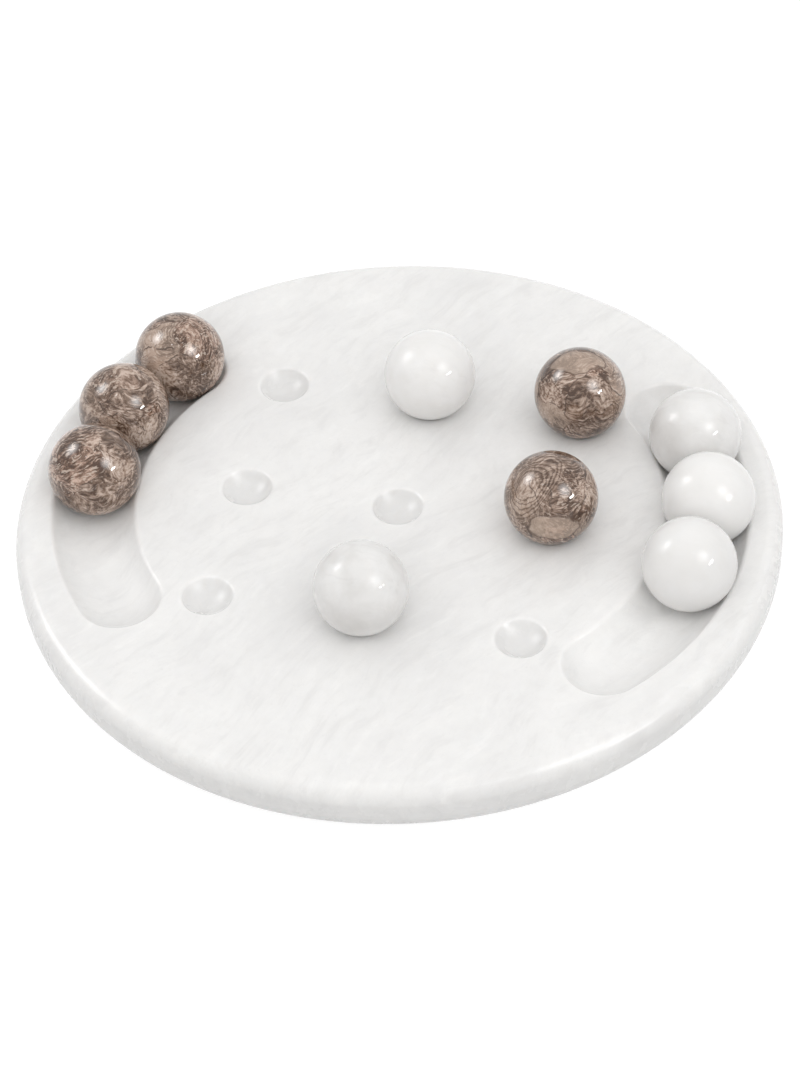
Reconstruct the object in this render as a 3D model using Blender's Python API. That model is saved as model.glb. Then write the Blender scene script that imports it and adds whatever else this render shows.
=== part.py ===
"""Marble tic tac toe set: a round board with nine seats and two ball troughs, ten balls and four pads.

Units are metres, +Z is up. The origin is on the table, under the middle of the board.
+X points to the white balls' trough, and +Y to the far row of seats.
"""

import math

import bmesh
import bpy
from mathutils import Matrix, Vector

# Driving dimensions.
BOARD_RADIUS = 0.1525
BOARD_THICKNESS = 0.022
TOP_EDGE_RADIUS = 0.007
BOTTOM_EDGE_RADIUS = 0.010

BALL_RADIUS = 0.0185

SEAT_PITCH = 0.062
SEAT_NOSE_RADIUS = 0.0125
SEAT_DEPTH = 0.0055
SEAT_LIP_RADIUS = 0.002

# Each trough follows an arc about a point of its own, this far from the board's middle.
TROUGH_CENTRE_OUT = 0.013
TROUGH_CENTRE_UP = 0.003
TROUGH_PATH_RADIUS = 0.1095
TROUGH_NEAR_SPAN = math.radians(41.0)
WHITE_TROUGH_FAR_SPAN = math.radians(41.0)
BROWN_TROUGH_FAR_SPAN = math.radians(33.5)
TROUGH_NOSE_RADIUS = 0.019
TROUGH_DEPTH = 0.0095
TROUGH_LIP_RADIUS = 0.001

PLAY = 0.0003

PAD_RADIUS = 0.011
PAD_THICKNESS = 0.002
PAD_CIRCLE_RADIUS = 0.098
PAD_COUNT = 4

# How the game stands: the middle ball of each row of waiting balls, and the seats taken.
# A seat is named by its column and row, each -1, 0 or 1.
BROWN_TROUGH_MIDDLE = math.radians(167.6)
WHITE_TROUGH_MIDDLE = math.radians(7.3)
WAITING_BALLS = 3
BROWN_SEATS = ((1, 1), (1, 0))
WHITE_SEATS = ((0, 1), (0, -1))

# Fineness of the round shapes.
BOARD_SEGMENTS = 96
EDGE_STEPS = 4
SEAT_SEGMENTS = 24
SEAT_STEPS = 4
TROUGH_STEPS = 6
LIP_STEPS = 2
TROUGH_PATH_STEPS = 14
TROUGH_END_STEPS = 10
BALL_SEGMENTS = 24
BALL_RINGS = 12
PAD_SEGMENTS = 32

# Derived heights and angles.
BOARD_BOTTOM = PAD_THICKNESS + PLAY
BOARD_TOP = BOARD_BOTTOM + BOARD_THICKNESS
CUTTER_RISE = 0.004
SMOOTH_ANGLE = math.radians(40.0)
NEIGHBOUR_STEP = 2.0 * math.asin((BALL_RADIUS + PLAY / 2.0) / TROUGH_PATH_RADIUS)

# Colour, roughness and metallic value of each material.
FINISHES = {
    "white_marble": ((0.86, 0.85, 0.83), 0.16, 0.0),
    "white_ball_marble": ((0.88, 0.88, 0.87), 0.08, 0.0),
    "brown_ball_marble": ((0.30, 0.23, 0.18), 0.08, 0.0),
    "felt": ((0.62, 0.59, 0.54), 0.95, 0.0),
}


def clear_scene():
    for old in list(bpy.data.objects):
        bpy.data.objects.remove(old, do_unlink=True)


def make_material(name):
    colour, roughness, metallic = FINISHES[name]
    material = bpy.data.materials.new(name)
    material.use_nodes = True
    shader = material.node_tree.nodes["Principled BSDF"]
    shader.inputs["Base Color"].default_value = (*colour, 1.0)
    shader.inputs["Roughness"].default_value = roughness
    shader.inputs["Metallic"].default_value = metallic
    return material


def add_object(name, mesh, material=None, location=(0.0, 0.0, 0.0)):
    piece = bpy.data.objects.new(name, mesh)
    piece.location = location
    if material:
        mesh.materials.append(material)
    bpy.context.scene.collection.objects.link(piece)
    return piece


def arc(centre, radius, start, end, steps):
    """Points (r, z) along an arc from one angle to another, both ends included."""
    points = []
    for i in range(steps + 1):
        angle = start + (end - start) * i / steps
        points.append((centre[0] + radius * math.cos(angle), centre[1] + radius * math.sin(angle)))
    return points


def mesh_from(bm, name):
    bmesh.ops.remove_doubles(bm, verts=bm.verts, dist=1e-6)
    bmesh.ops.recalc_face_normals(bm, faces=bm.faces)
    mesh = bpy.data.meshes.new(name)
    bm.to_mesh(mesh)
    bm.free()
    mesh.shade_smooth()
    mesh.set_sharp_from_angle(angle=SMOOTH_ANGLE)
    return mesh


def turned_mesh(name, profile, segments):
    """A closed body turned about Z from a profile of (r, z) points that starts and ends on the axis."""
    bm = bmesh.new()
    verts = [bm.verts.new((r, 0.0, z)) for r, z in profile]
    edges = [bm.edges.new(pair) for pair in zip(verts, verts[1:])]
    bmesh.ops.spin(
        bm, geom=verts + edges, cent=(0, 0, 0), axis=(0, 0, 1), angle=math.tau, steps=segments, use_merge=True
    )
    return mesh_from(bm, name)


def board_profile():
    top_centre = (BOARD_RADIUS - TOP_EDGE_RADIUS, BOARD_TOP - TOP_EDGE_RADIUS)
    bottom_centre = (BOARD_RADIUS - BOTTOM_EDGE_RADIUS, BOARD_BOTTOM + BOTTOM_EDGE_RADIUS)
    profile = [(0.0, BOARD_TOP)]
    profile += arc(top_centre, TOP_EDGE_RADIUS, math.pi / 2.0, 0.0, EDGE_STEPS)
    profile += arc(bottom_centre, BOTTOM_EDGE_RADIUS, 0.0, -math.pi / 2.0, EDGE_STEPS)
    profile.append((0.0, BOARD_BOTTOM))
    return profile


def lip_centre(nose, depth, lip):
    """Centre (r, z) of the arc that rounds a hollow's mouth, tangent to the board's face and to the nose's arc."""
    nose_height = nose - depth
    return math.sqrt((nose + lip) ** 2 - (nose_height + lip) ** 2), -lip


def hollow_profile(nose, depth, lip, steps):
    """Half section of a round-bottomed hollow, (r, z) with z = 0 at the board's face.

    It runs from the bottom on the centre line up the nose's arc, over the rounded lip, and up past the face.
    """
    nose_height = nose - depth
    lip_r, lip_z = lip_centre(nose, depth, lip)
    meeting = math.atan2(lip_z - nose_height, lip_r)
    wall = arc((0.0, nose_height), nose, -math.pi / 2.0, meeting, steps)
    wall[0] = (0.0, -depth)
    rounding = arc((lip_r, lip_z), lip, meeting + math.pi, math.pi / 2.0, LIP_STEPS)
    return wall + rounding[1:] + [(lip_r, CUTTER_RISE)]


def seat_cutter(name, column, row):
    profile = hollow_profile(SEAT_NOSE_RADIUS, SEAT_DEPTH, SEAT_LIP_RADIUS, SEAT_STEPS)
    mesh = turned_mesh(name, profile + [(0.0, CUTTER_RISE)], SEAT_SEGMENTS)
    return add_object(name, mesh, location=(column * SEAT_PITCH, row * SEAT_PITCH, BOARD_TOP))


def trough_centre(side):
    """The point about which a trough curves, on the board's face. Side is 1 for the white trough, -1 for the brown."""
    return Vector((side * TROUGH_CENTRE_OUT, TROUGH_CENTRE_UP, BOARD_TOP))


def trough_cutter(name, side, start, end):
    """The hollow that a ball-nosed tool leaves along an arc of the board, with its two round ends."""
    half = hollow_profile(TROUGH_NOSE_RADIUS, TROUGH_DEPTH, TROUGH_LIP_RADIUS, TROUGH_STEPS)
    section = [(-r, z) for r, z in reversed(half)] + half[1:]
    bm = bmesh.new()
    rings = []
    for i in range(TROUGH_PATH_STEPS + 1):
        angle = start + (end - start) * i / TROUGH_PATH_STEPS
        outward = Vector((math.cos(angle), math.sin(angle), 0.0))
        ring = [bm.verts.new(outward * (TROUGH_PATH_RADIUS + r) + Vector((0.0, 0.0, z))) for r, z in section]
        rings.append(ring)
    for ring, following in zip(rings, rings[1:]):
        for i in range(len(section)):
            j = (i + 1) % len(section)
            bm.faces.new((ring[i], ring[j], following[j], following[i]))
    for angle, sign in ((start, -1.0), (end, 1.0)):
        outward = Vector((math.cos(angle), math.sin(angle), 0.0))
        centre = outward * TROUGH_PATH_RADIUS
        verts = [bm.verts.new(centre + outward * r + Vector((0.0, 0.0, z))) for r, z in half]
        verts.append(bm.verts.new(centre + Vector((0.0, 0.0, CUTTER_RISE))))
        edges = [bm.edges.new(pair) for pair in zip(verts, verts[1:])]
        bmesh.ops.spin(
            bm,
            geom=verts + edges,
            cent=centre,
            axis=(0, 0, 1),
            angle=sign * math.pi,
            steps=TROUGH_END_STEPS,
        )
    return add_object(name, mesh_from(bm, name), location=trough_centre(side))


def hide_cutter(cutter):
    cutter.hide_render = True
    cutter.display_type = "WIRE"


def make_board(material):
    board = add_object("board", turned_mesh("board", board_profile(), BOARD_SEGMENTS), material)
    cutters = [seat_cutter(f"seat_cutter_{c}_{r}", c, r) for c in (-1, 0, 1) for r in (-1, 0, 1)]
    brown_ends = (math.pi - BROWN_TROUGH_FAR_SPAN, math.pi + TROUGH_NEAR_SPAN)
    cutters.append(trough_cutter("brown_trough_cutter", -1.0, *brown_ends))
    cutters.append(trough_cutter("white_trough_cutter", 1.0, -TROUGH_NEAR_SPAN, WHITE_TROUGH_FAR_SPAN))
    for cutter in cutters:
        hide_cutter(cutter)
        cut = board.modifiers.new(cutter.name, "BOOLEAN")
        cut.operation = "DIFFERENCE"
        cut.object = cutter
    return board


def ball_mesh(name):
    bm = bmesh.new()
    bmesh.ops.create_uvsphere(bm, u_segments=BALL_SEGMENTS, v_segments=BALL_RINGS, radius=BALL_RADIUS)
    return mesh_from(bm, name)


def seated_height():
    """Height of a ball's centre when it stands on the rounded lip of a seat, with the play under it."""
    lip_r, lip_z = lip_centre(SEAT_NOSE_RADIUS, SEAT_DEPTH, SEAT_LIP_RADIUS)
    reach = BALL_RADIUS + SEAT_LIP_RADIUS + PLAY
    return BOARD_TOP + lip_z + math.sqrt(reach**2 - lip_r**2)


def waiting_place(side, angle):
    """Centre of a ball that lies at the bottom of a trough, with the play under it."""
    along = Vector((math.cos(angle), math.sin(angle), 0.0)) * TROUGH_PATH_RADIUS
    return trough_centre(side) + along + Vector((0.0, 0.0, BALL_RADIUS + PLAY - TROUGH_DEPTH))


def make_balls(prefix, material, side, trough_middle, seats):
    """The balls that wait in a trough, far one first, then the balls in play, each with its origin at its centre."""
    towards_far_end = side * NEIGHBOUR_STEP
    places = [waiting_place(side, trough_middle + (1 - i) * towards_far_end) for i in range(WAITING_BALLS)]
    for column, row in seats:
        places.append((column * SEAT_PITCH, row * SEAT_PITCH, seated_height()))
    for number, place in enumerate(places, start=1):
        name = f"{prefix}_ball_{number}"
        add_object(name, ball_mesh(name), material, place)


def make_pads(material):
    profile = [
        (0.0, PAD_THICKNESS),
        (PAD_RADIUS, PAD_THICKNESS),
        (PAD_RADIUS, 0.0),
        (0.0, 0.0),
    ]
    for number in range(PAD_COUNT):
        turn = Matrix.Rotation(math.tau * (number + 0.5) / PAD_COUNT, 4, "Z")
        name = f"felt_pad_{number + 1}"
        place = turn @ Vector((PAD_CIRCLE_RADIUS, 0.0, 0.0))
        add_object(name, turned_mesh(name, profile, PAD_SEGMENTS), material, place)


def main():
    clear_scene()
    make_board(make_material("white_marble"))
    make_balls("brown", make_material("brown_ball_marble"), -1.0, BROWN_TROUGH_MIDDLE, BROWN_SEATS)
    make_balls("white", make_material("white_ball_marble"), 1.0, WHITE_TROUGH_MIDDLE, WHITE_SEATS)
    make_pads(make_material("felt"))


main()
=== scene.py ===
"""Looks of the marble tic tac toe set: polished board, ten polished marble balls and four felt pads.

Units are metres, +Z is up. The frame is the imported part's own: origin on the table under the board's middle,
+X towards the white balls' trough.
"""

import math

import bmesh
import bpy
from mathutils import Matrix, Vector, noise


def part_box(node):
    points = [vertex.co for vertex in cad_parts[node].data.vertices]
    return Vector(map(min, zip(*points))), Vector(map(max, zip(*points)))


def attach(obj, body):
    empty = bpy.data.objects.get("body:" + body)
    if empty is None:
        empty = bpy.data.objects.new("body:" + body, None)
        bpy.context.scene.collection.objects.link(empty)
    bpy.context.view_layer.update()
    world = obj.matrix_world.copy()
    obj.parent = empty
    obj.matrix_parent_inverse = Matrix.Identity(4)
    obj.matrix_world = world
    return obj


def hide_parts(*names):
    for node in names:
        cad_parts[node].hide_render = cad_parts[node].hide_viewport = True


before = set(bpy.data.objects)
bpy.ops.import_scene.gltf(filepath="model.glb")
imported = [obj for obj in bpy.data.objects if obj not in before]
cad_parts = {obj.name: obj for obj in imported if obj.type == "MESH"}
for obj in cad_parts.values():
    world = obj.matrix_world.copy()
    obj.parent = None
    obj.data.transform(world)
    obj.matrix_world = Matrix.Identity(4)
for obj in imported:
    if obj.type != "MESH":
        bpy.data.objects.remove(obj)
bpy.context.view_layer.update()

# Board and its hollows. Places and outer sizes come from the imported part, and these are the rest: the edges'
# and cutters' radii, how deep they go, and how far each trough runs to either side of the cross axis.
TOP_EDGE_RADIUS = 0.007
BOTTOM_EDGE_RADIUS = 0.010
SEAT_NOSE_RADIUS = 0.0125
SEAT_DEPTH = 0.0055
SEAT_LIP_RADIUS = 0.002
TROUGH_NEAR_SPAN = math.radians(41.0)
WHITE_TROUGH_FAR_SPAN = math.radians(41.0)
BROWN_TROUGH_FAR_SPAN = math.radians(33.5)
TROUGH_NOSE_RADIUS = 0.019
TROUGH_DEPTH = 0.0095
TROUGH_LIP_RADIUS = 0.0025
CUTTER_RISE = 0.004

BALL_RADIUS = (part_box("white_ball_1")[1].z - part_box("white_ball_1")[0].z) / 2.0

# Polish of the board and the painted shade in its seats: the depth at which a hollow is fully dull, and how
# far from the board's middle the seats end, the troughs start and end, and the rim starts.
DULL_DEPTH = 0.0015
SEATS_END = 0.0992
TROUGHS_START = 0.1015
TROUGHS_END = 0.1400
RIM_START = 0.1425

# Felt pads: the share of the thickness that the lower edge is rounded by, the rings of the flat faces as
# shares of the radius, and from which share of it, how deep and how finely the rim frays.
PAD_EDGE_SHARE = 0.4
PAD_RINGS = (0.3, 0.6, 0.85)
FRAY_START = 0.9
FRAY_DEPTH = 0.00022
FRAY_FINENESS = 900.0

# Steps of the round shapes, and the distances below which two points are one.
MERGE_DISTANCE = 2e-6
SEAM_DISTANCE = 1e-7
BOARD_SEGMENTS = 288
EDGE_STEPS = 14
SEAT_SEGMENTS = 64
SEAT_STEPS = 12
TROUGH_STEPS = 14
TROUGH_PATH_STEPS = 56
TROUGH_END_STEPS = 28
LIP_STEPS = 6
BALL_DIVISIONS = 6
PAD_SEGMENTS = 72
PAD_EDGE_STEPS = 5
FLOOR_SEGMENTS = 96

BROWN_BALLS = [f"brown_ball_{n}" for n in range(1, 6)]
WHITE_BALLS = [f"white_ball_{n}" for n in range(1, 6)]
PADS = [f"felt_pad_{n}" for n in range(1, 5)]

# Viewpoint: height above the horizon, turn about the board and roll of the camera, its distance, how far it
# is shifted down, and the lens and film width in mm.
VIEW_ELEVATION = math.radians(44.61)
VIEW_TURN = math.radians(14.75)
VIEW_ROLL = math.radians(-3.0)
VIEW_DISTANCE = 1.346
VIEW_DROP = 0.0157
LENS = 111.8
FILM_WIDTH = 36.0

# Lamps: directions from the board (viewer's right, away, up), their distance, and the step between the discs
# of a glow.
LEFT_LAMP = (-0.705, 0.31, 0.638)
RIGHT_LAMP = (0.533, -0.403, 0.744)
CORE_LAMP = (0.762, -0.461, 0.454)
FRONT_LAMP = (-0.1, -0.62, 0.78)
OVERHEAD_LAMP = (-0.30, -0.20, 0.93)
LAMP_DISTANCE = 1.6
GLOW_STEP = 0.04

# Light from all round: its level at the horizon, and how it grows to the right, away and upwards. The floor's
# own glow keeps it white.
SKY_LEVEL = 0.87
SKY_SLOPE = (0.04, 0.0, 0.24)
FLOOR_GLOW = 0.74


# ---------------------------------------------------------------- shapes


def arc(centre, radius, start, end, steps):
    """Points (r, z) along an arc from one angle to another, both ends included."""
    points = []
    for i in range(steps + 1):
        angle = start + (end - start) * i / steps
        points.append((centre[0] + radius * math.cos(angle), centre[1] + radius * math.sin(angle)))
    return points


def finish_mesh(bm, name):
    """The modelled shape as a smooth mesh, with its seams closed and its faces pointing out."""
    bmesh.ops.remove_doubles(bm, verts=bm.verts, dist=MERGE_DISTANCE)
    bmesh.ops.recalc_face_normals(bm, faces=bm.faces)
    mesh = bpy.data.meshes.new(name)
    bm.to_mesh(mesh)
    bm.free()
    mesh.shade_smooth()
    return mesh


def spin_points(bm, points, centre, angle, steps, merge=False):
    """Turn a row of points about the upright line through a centre."""
    verts = [bm.verts.new(point) for point in points]
    edges = [bm.edges.new(pair) for pair in zip(verts, verts[1:])]
    bmesh.ops.spin(
        bm, geom=verts + edges, cent=centre, axis=(0, 0, 1), angle=angle, steps=steps, use_merge=merge
    )


def spin_profile(bm, profile, segments):
    """Turn a profile of (r, z) points that starts and ends on the Z axis into a closed body."""
    spin_points(bm, [(r, 0.0, z) for r, z in profile], (0, 0, 0), math.tau, segments, merge=True)


def turned_mesh(name, profile, segments):
    """A smooth closed body turned about Z from a profile of (r, z) points."""
    bm = bmesh.new()
    spin_profile(bm, profile, segments)
    return finish_mesh(bm, name)


def add_piece(name, mesh, location=(0.0, 0.0, 0.0)):
    """A mesh as an object of the scene."""
    piece = bpy.data.objects.new(name, mesh)
    piece.location = location
    bpy.context.scene.collection.objects.link(piece)
    return piece


def middle(node):
    """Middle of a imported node's box."""
    low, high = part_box(node)
    return (low + high) / 2.0


def outward(angle):
    """The direction at an angle from +X in the board's plane."""
    return Vector((math.cos(angle), math.sin(angle), 0.0))


def upward(height):
    return Vector((0.0, 0.0, height))


def board_profile(low, high):
    """Half section of the uncut board, (r, z), with its two rounded edges."""
    radius = high.x
    top_centre = (radius - TOP_EDGE_RADIUS, high.z - TOP_EDGE_RADIUS)
    bottom_centre = (radius - BOTTOM_EDGE_RADIUS, low.z + BOTTOM_EDGE_RADIUS)
    profile = [(0.0, high.z)]
    profile += arc(top_centre, TOP_EDGE_RADIUS, math.pi / 2.0, 0.0, EDGE_STEPS)
    profile += arc(bottom_centre, BOTTOM_EDGE_RADIUS, 0.0, -math.pi / 2.0, EDGE_STEPS)
    profile.append((0.0, low.z))
    return profile


def hollow_profile(nose, depth, lip, steps):
    """Half section of a round-bottomed hollow with a rounded lip, (r, z) with z = 0 at the board's face."""
    nose_height = nose - depth
    lip_r = math.sqrt((nose + lip) ** 2 - (nose_height + lip) ** 2)
    meeting = math.atan2(-lip - nose_height, lip_r)
    wall = arc((0.0, nose_height), nose, -math.pi / 2.0, meeting, steps)
    wall[0] = (0.0, -depth)
    rounding = arc((lip_r, -lip), lip, meeting + math.pi, math.pi / 2.0, LIP_STEPS)
    return wall + rounding[1:] + [(lip_r, CUTTER_RISE)]


def seat_cutter(name, place):
    """The hollow of one seat, closed above the board's face."""
    profile = hollow_profile(SEAT_NOSE_RADIUS, SEAT_DEPTH, SEAT_LIP_RADIUS, SEAT_STEPS)
    return add_piece(name, turned_mesh(name, profile + [(0.0, CUTTER_RISE)], SEAT_SEGMENTS), place)


def path_of(nodes):
    """Centre (x, y) and radius of the arc on which three waiting balls lie."""
    a, b, c = (middle(node).xy for node in nodes)
    double_area = 2.0 * (b - a).cross(c - a)
    to_b = (b - a).length_squared
    to_c = (c - a).length_squared
    x = ((c - a).y * to_b - (b - a).y * to_c) / double_area
    y = ((b - a).x * to_c - (c - a).x * to_b) / double_area
    return a + Vector((x, y)), math.hypot(x, y)


def trough_cutter(name, waiting, start, end, height):
    """The hollow that a ball-nosed tool leaves along the waiting balls' arc, with its two round ends."""
    arc_centre, path_radius = path_of(waiting)
    half = hollow_profile(TROUGH_NOSE_RADIUS, TROUGH_DEPTH, TROUGH_LIP_RADIUS, TROUGH_STEPS)
    section = [(-r, z) for r, z in reversed(half)] + half[1:]
    bm = bmesh.new()
    rings = []
    for i in range(TROUGH_PATH_STEPS + 1):
        out = outward(start + (end - start) * i / TROUGH_PATH_STEPS)
        rings.append([bm.verts.new(out * (path_radius + r) + upward(z)) for r, z in section])
    for ring, following in zip(rings, rings[1:]):
        for i in range(len(section)):
            j = (i + 1) % len(section)
            bm.faces.new((ring[i], ring[j], following[j], following[i]))
    for angle, half_turn in ((start, -math.pi), (end, math.pi)):
        out = outward(angle)
        centre = out * path_radius
        points = [centre + out * r + upward(z) for r, z in half] + [centre + upward(CUTTER_RISE)]
        spin_points(bm, points, centre, half_turn, TROUGH_END_STEPS)
    return add_piece(name, finish_mesh(bm, name), (arc_centre.x, arc_centre.y, height))


def make_board():
    """The turned slab with nine seats and two troughs cut out of it."""
    low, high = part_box("board")
    pitch = middle("brown_ball_4").y - middle("brown_ball_5").y
    piece = add_piece("marble_board", turned_mesh("marble_board", board_profile(low, high), BOARD_SEGMENTS))
    cutters = []
    for column in (-1, 0, 1):
        for row in (-1, 0, 1):
            cutters.append(seat_cutter("seat_cutter", (column * pitch, row * pitch, high.z)))
    brown_ends = (math.pi - BROWN_TROUGH_FAR_SPAN, math.pi + TROUGH_NEAR_SPAN)
    white_ends = (-TROUGH_NEAR_SPAN, WHITE_TROUGH_FAR_SPAN)
    cutters.append(trough_cutter("trough_cutter", BROWN_BALLS[:3], *brown_ends, high.z))
    cutters.append(trough_cutter("trough_cutter", WHITE_BALLS[:3], *white_ends, high.z))
    for cutter in cutters:
        cut = piece.modifiers.new("cut", "BOOLEAN")
        cut.operation = "DIFFERENCE"
        cut.solver = "EXACT"
        cut.object = cutter
    # The cuts are applied, and the cutters go, before the normals are weighted on the final faces.
    bpy.context.view_layer.update()
    shaped = piece.evaluated_get(bpy.context.evaluated_depsgraph_get())
    mesh = bpy.data.meshes.new_from_object(shaped)
    mesh.name = "marble_board"
    piece.modifiers.clear()
    piece.data = mesh
    for cutter in cutters:
        bpy.data.objects.remove(cutter, do_unlink=True)
    mesh.shade_smooth()
    smoothing = piece.modifiers.new("face_weighted_normals", "WEIGHTED_NORMAL")
    smoothing.mode = "FACE_AREA"
    smoothing.weight = 100
    return piece


def make_ball(node, name):
    """A fine ball in a packed ball's place and size."""
    low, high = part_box(node)
    bm = bmesh.new()
    bmesh.ops.create_icosphere(bm, subdivisions=BALL_DIVISIONS, radius=(high.z - low.z) / 2.0)
    return add_piece(name, finish_mesh(bm, name), middle(node))


def make_pad(node, name):
    """A felt disc with a rounded lower edge and a frayed rim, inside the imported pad's box."""
    low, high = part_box(node)
    radius = (high.x - low.x) / 2.0
    thickness = high.z - low.z
    edge = thickness * PAD_EDGE_SHARE
    profile = [(0.0, thickness)]
    profile += [(radius * share, thickness) for share in PAD_RINGS]
    profile += [(radius - edge * 0.2, thickness), (radius, thickness - edge * 0.3)]
    profile += arc((radius - edge, edge), edge, 0.0, -math.pi / 2.0, PAD_EDGE_STEPS)
    profile += [(radius * share, 0.0) for share in (*reversed(PAD_RINGS), 0.0)]
    bm = bmesh.new()
    spin_profile(bm, profile, PAD_SEGMENTS)
    bmesh.ops.remove_doubles(bm, verts=bm.verts, dist=SEAM_DISTANCE)
    # The rim below the glued face frays inwards, on each pad in its own way.
    for vert in bm.verts:
        if vert.co.xy.length > radius * FRAY_START and vert.co.z < thickness - 1e-6:
            tuft = 0.5 + 0.5 * noise.noise(vert.co * FRAY_FINENESS + Vector(low) * 40.0)
            vert.co.xy -= vert.co.xy.normalized() * FRAY_DEPTH * tuft
    return add_piece(name, finish_mesh(bm, name), (middle(node).x, middle(node).y, low.z))


# ---------------------------------------------------------------- materials


class Graph:
    """A material's node graph, built by calls that take sockets or plain values."""

    def __init__(self, name):
        self.material = bpy.data.materials.new(name)
        self.material.use_nodes = True
        self.tree = self.material.node_tree
        self.tree.nodes.clear()

    def add(self, kind, **settings):
        node = self.tree.nodes.new(kind)
        for key, value in settings.items():
            setattr(node, key, value)
        return node

    def put(self, socket, value):
        """Link a socket to another one, or set its value."""
        if isinstance(value, bpy.types.NodeSocket):
            self.tree.links.new(value, socket)
        else:
            socket.default_value = value

    def coords(self, scale=1.0):
        """The piece's own coordinates, in metres times a scale."""
        place = self.add("ShaderNodeTexCoord").outputs["Object"]
        return self.vector("SCALE", place, scale)

    def vector(self, operation, a, b):
        node = self.add("ShaderNodeVectorMath", operation=operation)
        self.put(node.inputs[0], a)
        self.put(node.inputs["Scale"] if operation == "SCALE" else node.inputs[1], b)
        return node.outputs["Value"] if operation in ("DISTANCE", "DOT_PRODUCT") else node.outputs[0]

    def math(self, operation, a, b=0.0):
        node = self.add("ShaderNodeMath", operation=operation)
        self.put(node.inputs[0], a)
        self.put(node.inputs[1], b)
        return node.outputs[0]

    def product(self, a, b):
        return self.math("MULTIPLY", a, b)

    def range(self, value, low, high, to_low=0.0, to_high=1.0):
        """A smooth step of a value from one limit to the other, which may run downwards."""
        node = self.add("ShaderNodeMapRange", interpolation_type="SMOOTHSTEP")
        # The first five sockets are the value, the two limits and what they become.
        for socket, v in zip(node.inputs[:5], (value, low, high, to_low, to_high)):
            self.put(socket, v)
        return node.outputs[0]

    def mapped(self, vector, turn=(0.0, 0.0, 0.0), scale=(1.0, 1.0, 1.0)):
        node = self.add("ShaderNodeMapping")
        self.put(node.inputs["Vector"], vector)
        self.put(node.inputs["Rotation"], turn)
        self.put(node.inputs["Scale"], scale)
        return node.outputs[0]

    def noise(self, vector, scale, detail=2.0, roughness=0.5, colour=False):
        node = self.add("ShaderNodeTexNoise")
        self.put(node.inputs["Vector"], vector)
        self.put(node.inputs["Scale"], scale)
        self.put(node.inputs["Detail"], detail)
        self.put(node.inputs["Roughness"], roughness)
        return node.outputs["Color" if colour else "Fac"]

    def cells(self, vector, scale, edge=False):
        node = self.add("ShaderNodeTexVoronoi", feature="DISTANCE_TO_EDGE" if edge else "F1")
        self.put(node.inputs["Vector"], vector)
        self.put(node.inputs["Scale"], scale)
        return node.outputs["Distance" if edge else "Color"]

    def warped(self, vector, scale, amount, detail=2.0):
        """Coordinates pushed about by a noise, which bends what is drawn in them."""
        swing = self.vector("SUBTRACT", self.noise(vector, scale, detail, colour=True), (0.5, 0.5, 0.5))
        return self.vector("ADD", vector, self.vector("SCALE", swing, amount))

    def spun(self, vector, axis, angle):
        """Coordinates turned about an axis."""
        node = self.add("ShaderNodeVectorRotate", rotation_type="AXIS_ANGLE")
        self.put(node.inputs["Vector"], vector)
        self.put(node.inputs["Axis"], axis)
        self.put(node.inputs["Angle"], angle)
        return node.outputs[0]

    def oval(self, vector, centre, along, share):
        """Distance from a centre, shortened by a share of its part along one direction."""
        apart = self.vector("SUBTRACT", vector, centre)
        length = self.product(self.vector("DOT_PRODUCT", apart, along), share)
        return self.vector("DISTANCE", apart, self.vector("SCALE", along, length))

    def parts(self, vector):
        node = self.add("ShaderNodeSeparateXYZ")
        self.put(node.inputs[0], vector)
        return node.outputs

    def ramp(self, value, stops):
        node = self.add("ShaderNodeValToRGB")
        self.put(node.inputs[0], value)
        points = node.color_ramp.elements
        while len(points) < len(stops):
            points.new(0.5)
        for point, (place, colour) in zip(points, stops):
            point.position = place
            point.color = (*colour, 1.0)
        return node.outputs[0]

    def mix(self, share, a, b, blend="MIX"):
        node = self.add("ShaderNodeMix", data_type="RGBA", blend_type=blend)
        # The node has sockets of each kind, and inputs 6 and 7 and output 2 are those for colours.
        self.put(node.inputs["Factor"], share)
        for socket, value in ((node.inputs[6], a), (node.inputs[7], b)):
            self.put(socket, value if isinstance(value, bpy.types.NodeSocket) else (*value, 1.0))
        return node.outputs[2]

    def bump(self, height, distance):
        node = self.add("ShaderNodeBump")
        self.put(node.inputs["Height"], height)
        self.put(node.inputs["Distance"], distance)
        self.put(node.inputs["Strength"], 1.0)
        return node.outputs[0]

    def finish(self, **sockets):
        """The shader, with its sockets set by name, and the material that it ends."""
        shader = self.add("ShaderNodeBsdfPrincipled")
        for name, value in sockets.items():
            self.put(shader.inputs[name.replace("_", " ")], value)
        out = self.add("ShaderNodeOutputMaterial")
        self.tree.links.new(shader.outputs[0], out.inputs[0])
        return self.material


# Grey of the streaks, also mixed into the seats as painted shade.
STREAK_AND_SEAT_SHADE_GREY = (0.645, 0.638, 0.630)


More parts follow.
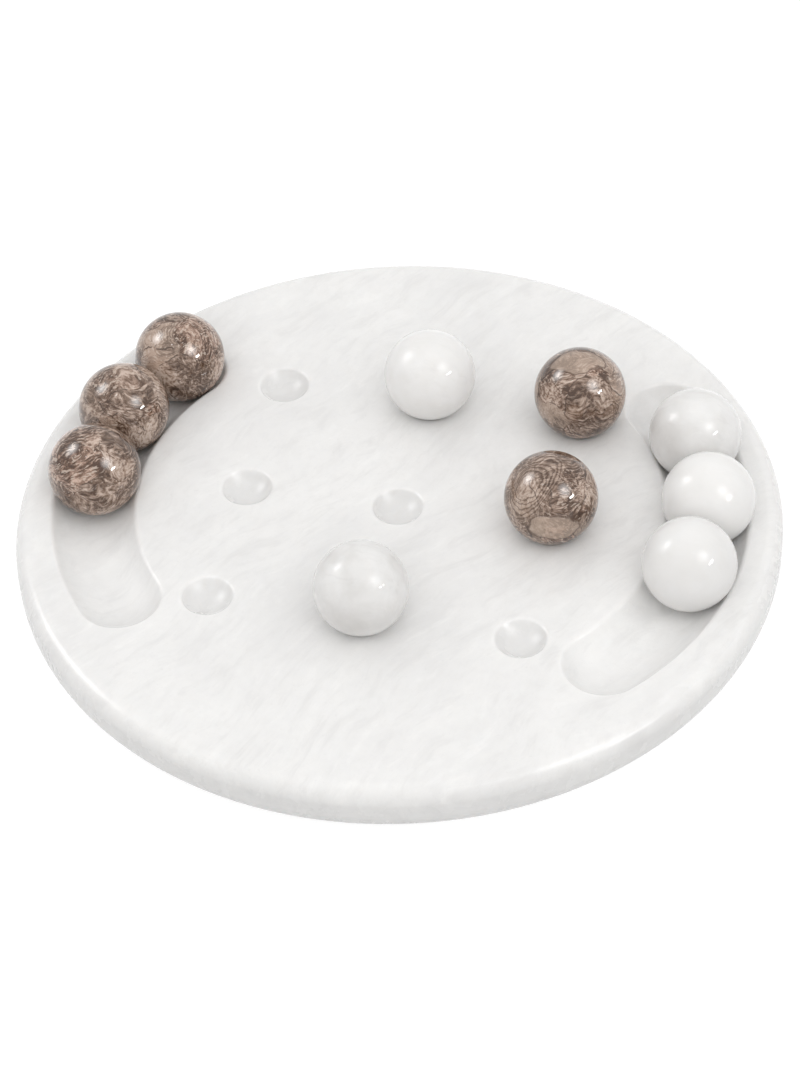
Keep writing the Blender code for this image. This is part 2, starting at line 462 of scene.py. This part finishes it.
def board_marble():
    """White marble with soft grey clouds and fine short streaks that run one way through the slab."""
    g = Graph("white_marble_veined")
    place = g.coords(10.0)
    # Patterns, from broad to fine. All but the last two lie along one direction.
    bent = g.warped(g.warped(place, 0.7, 0.5), 3.0, 0.14)
    along = g.mapped(bent, turn=(0.0, 0.0, -math.radians(58.0)))
    clouds = g.noise(g.mapped(along, scale=(1.0, 1.9, 1.5)), 1.5, 6.0, 0.62)
    streaks = g.noise(g.mapped(along, scale=(2.2, 8.5, 6.0)), 1.5, 5.0, 0.62)
    threads = g.noise(g.mapped(g.warped(along, 5.0, 0.08), scale=(4.0, 19.0, 13.0)), 1.3, 4.0, 0.6)
    grain = g.noise(place, 20.0, 4.0, 0.65)
    speck = g.noise(place, 75.0, 2.0, 0.6)
    shade = g.ramp(
        clouds,
        [
            (0.28, (0.674, 0.669, 0.663)),
            (0.42, (0.715, 0.709, 0.701)),
            (0.54, (0.736, 0.730, 0.720)),
            (0.74, (0.754, 0.747, 0.737)),
        ],
    )
    shade = g.mix(g.range(streaks, 0.50, 0.30, 0.0, 0.55), shade, STREAK_AND_SEAT_SHADE_GREY)
    shade = g.mix(g.range(streaks, 0.54, 0.74, 0.0, 0.60), shade, (0.785, 0.779, 0.768))
    shade = g.mix(g.range(threads, 0.45, 0.25, 0.0, 0.40), shade, (0.640, 0.632, 0.625))
    shade = g.mix(g.range(threads, 0.56, 0.75, 0.0, 0.35), shade, (0.790, 0.784, 0.775))
    shade = g.mix(g.range(grain, 0.40, 0.68, 0.0, 0.22), shade, (0.660, 0.652, 0.643))
    shade = g.mix(g.range(speck, 0.60, 0.78, 0.0, 0.22), shade, (0.600, 0.592, 0.585))
    # Seats get a painted shade that makes them a little greyer than the face, and they are less polished;
    # troughs are the dullest.
    here = g.coords()
    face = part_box("board")[1].z
    sunk = g.range(g.parts(here)[2], face, face - DULL_DEPTH)
    outer = g.vector("DISTANCE", g.vector("MULTIPLY", here, (1.0, 1.0, 0.0)), (0.0, 0.0, 0.0))
    painted_seat_shade = g.product(sunk, g.range(outer, TROUGHS_START, SEATS_END))
    in_trough = g.product(g.range(outer, SEATS_END, TROUGHS_START), g.range(outer, RIM_START, TROUGHS_END))
    # Painted shade: the seats' hollows are mixed towards grey.
    shade = g.mix(g.product(painted_seat_shade, 0.45), shade, STREAK_AND_SEAT_SHADE_GREY)
    dull = g.product(sunk, g.math("ADD", g.product(in_trough, 0.65), 0.35))
    polish = g.range(g.noise(place, 7.0, 4.0, 0.6), 0.3, 0.7, 0.10, 0.17)
    height = g.math("ADD", g.product(grain, 0.5), g.noise(place, 2.2, 2.0))
    return g.finish(
        Base_Color=shade,
        Roughness=g.math("ADD", polish, g.product(dull, 0.38)),
        Specular_IOR_Level=0.22,
        IOR=1.5,
        Subsurface_Weight=0.6,
        Subsurface_Radius=(1.0, 0.95, 0.9),
        Subsurface_Scale=0.004,
        Normal=g.bump(height, 0.00002),
    )


BROWN_DARK = (0.070, 0.038, 0.024)


def brown_marble(name, seed, lift=0.0, nest=None, pale=None):
    """Brown brecciated marble: bent clasts with their own lay of fine curved strokes, dark brown to beige.

    lift moves all tones up or down. nest is the middle and long direction of a nest of close curved bands,
    and pale those of a light clast with a dark outline, both in ball radii from the ball's own centre.
    """
    g = Graph(name)
    ball = g.coords(1.0 / BALL_RADIUS)
    place = g.vector("ADD", ball, seed)
    # Bent clasts, each turned its own way, and the patterns drawn in them.
    bent = g.warped(g.warped(place, 0.75, 0.9), 2.2, 0.26)
    clast = g.cells(bent, 1.2)
    tilt = g.parts(clast)
    lay = g.spun(bent, g.vector("SUBTRACT", clast, (0.5, 0.5, 0.5)), g.product(tilt[0], 5.0))
    curled = g.warped(lay, 1.3, 0.35, 2.0)
    fibres = g.noise(g.mapped(curled, scale=(2.7, 10.0, 20.0)), 1.0, 4.0, 0.60)
    strokes = g.noise(g.mapped(g.warped(lay, 1.6, 0.30), scale=(3.8, 25.0, 15.0)), 1.0, 2.0, 0.55)
    chips = g.noise(g.mapped(g.warped(bent, 4.0, 0.20), scale=(8.0, 20.0, 13.0)), 1.0, 4.0, 0.70)
    blotch = g.noise(bent, 1.5, 3.0, 0.55)
    # Tones, with some clasts pinker or lighter than others.
    field = g.math("ADD", g.product(fibres, 0.44), g.product(blotch, 0.34))
    field = g.math("ADD", field, g.product(g.math("ADD", chips, lift), 0.22))
    shade = g.ramp(
        field,
        [
            (0.430, BROWN_DARK),
            (0.466, (0.152, 0.094, 0.064)),
            (0.498, (0.226, 0.153, 0.114)),
            (0.530, (0.335, 0.243, 0.191)),
            (0.575, (0.510, 0.404, 0.338)),
        ],
    )
    pink = g.range(tilt[1], 0.45, 0.95, 0.0, 0.8)
    shade = g.mix(pink, shade, g.mix(1.0, shade, (1.03, 0.92, 0.88), "MULTIPLY"))
    shade = g.mix(g.range(tilt[2], 0.66, 0.92, 0.0, 0.60), shade, (0.385, 0.290, 0.228))
    # Dark strokes and drawn lines, fewer where it is light, then light strokes, dark chips and clasts' seams.
    busy = g.range(blotch, 0.58, 0.46, 0.12, 1.0)
    dashes = g.product(g.range(strokes, 0.440, 0.410), busy)
    shade = g.mix(g.product(dashes, g.range(tilt[2], 0.2, 0.7, 0.80, 0.40)), shade, BROWN_DARK)
    lines = g.math("ABSOLUTE", g.math("SUBTRACT", fibres, 0.5))
    cracks = g.math("ABSOLUTE", g.math("SUBTRACT", chips, 0.5))
    drawn = g.math("MAXIMUM", g.range(lines, 0.022, 0.005), g.range(cracks, 0.020, 0.004, 0.0, 0.8))
    shade = g.mix(g.product(g.product(drawn, busy), 0.80), shade, (0.045, 0.025, 0.016))
    bright = g.product(g.range(strokes, 0.580, 0.605), g.range(tilt[1], 0.2, 0.7, 0.15, 0.70))
    shade = g.mix(bright, shade, (0.530, 0.432, 0.362))
    shade = g.mix(g.range(chips, 0.40, 0.33, 0.0, 0.85), shade, (0.055, 0.030, 0.020))
    seam = g.range(g.cells(bent, 1.2, edge=True), 0.022, 0.0, 0.0, 0.9)
    seam = g.product(seam, g.range(g.noise(place, 5.0, 2.0), 0.45, 0.58))
    shade = g.mix(seam, shade, (0.045, 0.024, 0.016))
    if nest:
        reach = g.oval(g.warped(g.warped(ball, 1.6, 0.35), 6.0, 0.05), *nest, 0.50)
        inside = g.product(g.range(reach, 0.58, 0.44), g.range(reach, 0.10, 0.24, 0.3, 1.0))
        wave = g.math("SINE", g.product(reach, 96.0))
        light_bands = g.product(g.range(wave, 0.0, -0.9, 0.0, 0.40), inside)
        dark_bands = g.product(g.range(wave, 0.3, 0.9, 0.0, 0.62), inside)
        shade = g.mix(light_bands, shade, (0.400, 0.305, 0.243))
        shade = g.mix(dark_bands, shade, BROWN_DARK)
    if pale:
        reach = g.oval(g.warped(ball, 2.0, 0.45), *pale, 0.50)
        shade = g.mix(g.range(reach, 0.36, 0.30, 0.0, 0.55), shade, (0.410, 0.316, 0.251))
        outline = g.product(g.range(reach, 0.31, 0.335), g.range(reach, 0.365, 0.345))
        shade = g.mix(g.product(outline, 0.65), shade, BROWN_DARK)
    return g.finish(
        Base_Color=shade,
        Roughness=g.range(g.noise(place, 6.0, 3.0), 0.3, 0.7, 0.035, 0.075),
        IOR=1.52,
        Normal=g.bump(g.noise(place, 2.0, 3.0), 0.00003),
    )


def white_ball_marble(name, seed, clean=0.75, veins=0.0, grey=0.0, patch=None):
    """White marble of a ball: clean to greyish and veined, and faintly see-through.

    clean is its lightest tone, veins and grey are shares, and patch is the middle of a darker patch, in ball
    radii from the ball's own centre.
    """
    g = Graph(name)
    ball = g.coords(1.0 / BALL_RADIUS)
    place = g.vector("ADD", ball, seed)
    bent = g.warped(place, 1.1, 0.5, 3.0)
    clouds = g.noise(bent, 1.3, 4.0, 0.55)
    lines = g.noise(g.mapped(bent, turn=(0.6, 0.4, 0.9), scale=(1.0, 5.5, 3.0)), 1.2, 5.0, 0.6)
    dim = clean - 0.025 - 0.08 * grey
    dim_tone = (dim, dim * 0.985, dim * 0.965)
    clean_tone = (clean, clean * 0.99, clean * 0.978)
    shade = g.ramp(clouds, [(0.32, dim_tone), (0.62, clean_tone)])
    shade = g.mix(g.range(lines, 0.48, 0.28, 0.0, 0.06 + 0.5 * veins), shade, (0.56, 0.55, 0.54))
    shade = g.mix(g.range(lines, 0.60, 0.80, 0.0, 0.4), shade, (0.80, 0.794, 0.785))
    if patch:
        near = g.vector("DISTANCE", g.warped(ball, 3.0, 0.35), patch)
        shade = g.mix(g.range(near, 0.80, 0.10, 0.0, 0.26), shade, (0.42, 0.395, 0.375))
    return g.finish(
        Base_Color=shade,
        Roughness=g.range(g.noise(place, 6.0, 3.0), 0.3, 0.7, 0.025, 0.055),
        IOR=1.52,
        Specular_IOR_Level=0.19,
        Subsurface_Weight=0.6,
        Subsurface_Radius=(1.0, 0.95, 0.9),
        Subsurface_Scale=0.007,
        Normal=g.bump(g.noise(place, 2.0, 3.0), 0.00003),
    )


def felt():
    """Pressed wool felt: matted short fibres, with paler and darker tufts."""
    g = Graph("pressed_felt")
    place = g.coords(1000.0)
    matted = g.warped(place, 0.5, 1.6, 3.0)
    fibres = g.noise(g.mapped(matted, scale=(1.0, 4.0, 2.0)), 1.1, 4.0, 0.65)
    cross = g.noise(g.mapped(matted, turn=(0.3, 0.2, 1.2), scale=(1.0, 4.5, 2.0)), 1.1, 4.0, 0.65)
    tufts = g.noise(place, 0.35, 3.0)
    weave = g.math("MAXIMUM", fibres, cross)
    shade = g.ramp(
        weave,
        [
            (0.40, (0.42, 0.39, 0.35)),
            (0.56, (0.60, 0.57, 0.52)),
            (0.75, (0.76, 0.73, 0.68)),
        ],
    )
    shade = g.mix(g.range(tufts, 0.3, 0.7, 0.0, 0.4), shade, (0.50, 0.47, 0.425))
    return g.finish(
        Base_Color=shade,
        Roughness=g.range(tufts, 0.3, 0.7, 0.88, 0.98),
        Sheen_Weight=0.4,
        Sheen_Roughness=0.5,
        Normal=g.bump(g.math("ADD", weave, g.product(tufts, 0.5)), 0.0003),
    )


def floor_paint():
    """Plain white sheet that glows a little, so that it stays white round the object."""
    g = Graph("studio_floor")
    place = g.coords()
    tone = g.noise(place, 3.0, 3.0)
    return g.finish(
        Base_Color=g.ramp(tone, [(0.3, (0.34, 0.34, 0.34)), (0.7, (0.36, 0.36, 0.36))]),
        Roughness=g.range(tone, 0.3, 0.7, 0.85, 0.95),
        Emission_Color=(1.0, 1.0, 1.0, 1.0),
        Emission_Strength=FLOOR_GLOW,
        Normal=g.bump(g.noise(place, 120.0, 2.0), 0.0002),
    )


# ---------------------------------------------------------------- building


def dress(piece, node, body, material):
    """Give a piece its material, and put it in its node's place on its body."""
    piece.data.materials.clear()
    piece.data.materials.append(material)
    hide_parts(node)
    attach(piece, body)


dress(make_board(), "board", "base", board_marble())

BROWN_LOOKS = {
    "brown_ball_1": dict(seed=(3.1, 8.4, 1.7)),
    "brown_ball_2": dict(seed=(11.6, 2.3, 6.9)),
    "brown_ball_3": dict(seed=(5.2, 14.8, 9.3), lift=-0.03),
    "brown_ball_4": dict(
        seed=(17.9, 4.4, 12.1),
        lift=-0.09,
        pale=((-0.09, -0.04, 0.99), (0.97, 0.25, 0.0)),
    ),
    "brown_ball_5": dict(
        seed=(8.7, 19.2, 3.5),
        nest=((-0.43, -0.52, 0.74), (0.56, 0.66, 0.50)),
        pale=((0.21, -0.98, 0.03), (0.97, 0.25, 0.0)),
    ),
}
WHITE_LOOKS = {
    "white_ball_1": dict(seed=(2.2, 6.1, 9.8), clean=0.72, veins=0.5, grey=0.6, patch=(-0.55, -0.67, 0.50)),
    "white_ball_2": dict(seed=(7.5, 1.9, 4.6), clean=0.745),
    "white_ball_3": dict(seed=(12.4, 9.7, 2.8), clean=0.715),
    "white_ball_4": dict(seed=(4.9, 13.3, 8.2), clean=0.745, veins=0.15, grey=0.2),
    "white_ball_5": dict(seed=(15.1, 5.8, 11.4), clean=0.71, veins=0.5, grey=0.7, patch=(-0.08, -0.99, 0.01)),
}
for node in BROWN_BALLS:
    material = brown_marble(f"brown_marble_{node[-1]}", **BROWN_LOOKS[node])
    dress(make_ball(node, f"marble_{node}"), node, f"{node}_body", material)
for node in WHITE_BALLS:
    material = white_ball_marble(f"white_ball_marble_{node[-1]}", **WHITE_LOOKS[node])
    dress(make_ball(node, f"marble_{node}"), node, f"{node}_body", material)

pad_felt = felt()
for node in PADS:
    dress(make_pad(node, f"soft_{node}"), node, "base", pad_felt)

# ---------------------------------------------------------------- studio

facing = Matrix.Rotation(VIEW_TURN, 3, "Z")
board_face = Vector((0.0, 0.0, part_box("board")[1].z))


def make_floor():
    """A wide round sheet on the table plane, its edge turned down a little."""
    profile = [(0.0, 0.0), (2.0, 0.0), (5.0, 0.0), (7.9, -0.01), (8.0, -0.05), (0.0, -0.06)]
    floor = add_piece("studio_floor", turned_mesh("studio_floor", profile, FLOOR_SEGMENTS))
    floor.data.materials.append(floor_paint())
    # Its glow lights only what mirrors it, or it would wash out the shade under the board's rim.
    floor.visible_diffuse = False


def softbox(name, direction, width, height, radiance, away=LAMP_DISTANCE, shows=True, lights=True):
    """A studio lamp seen from the board in a direction and with an angular size in degrees.

    It is round if it is as wide as it is high. shows puts it in reflections, and lights lets it light the
    stone itself.
    """
    towards = facing @ Vector(direction).normalized()
    lamp = bpy.data.lights.new(name, "AREA")
    lamp.shape = "ELLIPSE" if width == height else "RECTANGLE"
    lamp.size = 2.0 * away * math.tan(math.radians(width) / 2.0)
    lamp.size_y = 2.0 * away * math.tan(math.radians(height) / 2.0)
    area = lamp.size * lamp.size_y * (math.pi / 4.0 if width == height else 1.0)
    lamp.energy = radiance * math.pi * area
    holder = bpy.data.objects.new(name, lamp)
    holder.location = board_face + towards * away
    holder.rotation_euler = (-towards).to_track_quat("-Z", "Y").to_euler()
    holder.visible_glossy = shows
    holder.visible_diffuse = lights
    bpy.context.scene.collection.objects.link(holder)


def glow(name, direction, sizes, radiance):
    """The look of a lamp in the polish: it fades towards its edge, from discs one behind the other."""
    share = radiance / len(sizes)
    for number, size in enumerate(sizes):
        away = LAMP_DISTANCE + GLOW_STEP * number
        softbox(f"{name}_{number}", direction, size, size, share, away, lights=False)


def make_sky():
    """Even white light from all round, a little stronger from above."""
    world = bpy.data.worlds.new("studio_world")
    world.use_nodes = True
    sky = world.node_tree.nodes
    links = world.node_tree.links
    place = sky.new("ShaderNodeTexCoord")
    tilt = sky.new("ShaderNodeVectorMath")
    tilt.operation = "DOT_PRODUCT"
    tilt.inputs[1].default_value = facing @ Vector(SKY_SLOPE)
    level = sky.new("ShaderNodeMath")
    level.inputs[1].default_value = SKY_LEVEL
    links.new(place.outputs["Generated"], tilt.inputs[0])
    links.new(tilt.outputs["Value"], level.inputs[0])
    links.new(level.outputs[0], sky["Background"].inputs["Strength"])
    sky["Background"].inputs["Color"].default_value = (1.0, 1.0, 1.0, 1.0)
    bpy.context.scene.world = world


def make_camera():
    """A long lens that looks down at the board from the front, turned and rolled a little."""
    back = Vector((0.0, -math.cos(VIEW_ELEVATION), math.sin(VIEW_ELEVATION)))
    up = Vector((0.0, math.sin(VIEW_ELEVATION), math.cos(VIEW_ELEVATION)))
    right = Vector((1.0, 0.0, 0.0))
    rolled_right = right * math.cos(VIEW_ROLL) + up * math.sin(VIEW_ROLL)
    rolled_up = up * math.cos(VIEW_ROLL) - right * math.sin(VIEW_ROLL)
    camera = bpy.data.objects.new("camera", bpy.data.cameras.new("camera"))
    camera.data.lens = LENS
    camera.data.sensor_width = FILM_WIDTH
    camera.location = board_face + facing @ (back * VIEW_DISTANCE - up * VIEW_DROP)
    camera.rotation_euler = (facing @ Matrix((rolled_right, rolled_up, back)).transposed()).to_euler()
    bpy.context.scene.collection.objects.link(camera)
    bpy.context.scene.camera = camera


make_floor()
softbox("left_fill", LEFT_LAMP, width=34.0, height=34.0, radiance=0.35, shows=False)
softbox("right_fill", RIGHT_LAMP, width=42.0, height=42.0, radiance=0.7, shows=False)
softbox("front_fill", FRONT_LAMP, width=60.0, height=60.0, radiance=0.7, shows=False)
glow("left_box", LEFT_LAMP, sizes=(36.0, 30.0, 24.0, 18.0, 13.0, 9.0), radiance=13.0)
glow("right_glow", RIGHT_LAMP, sizes=(42.0, 35.0, 29.0, 23.0, 17.0, 12.0, 7.0), radiance=12.0)
softbox("right_core", CORE_LAMP, width=12.0, height=4.5, radiance=45.0, lights=False)
softbox("small_overhead", OVERHEAD_LAMP, width=2.0, height=2.0, radiance=30.0, lights=False)
make_sky()
make_camera()
bpy.context.scene.view_settings.view_transform = "Standard"
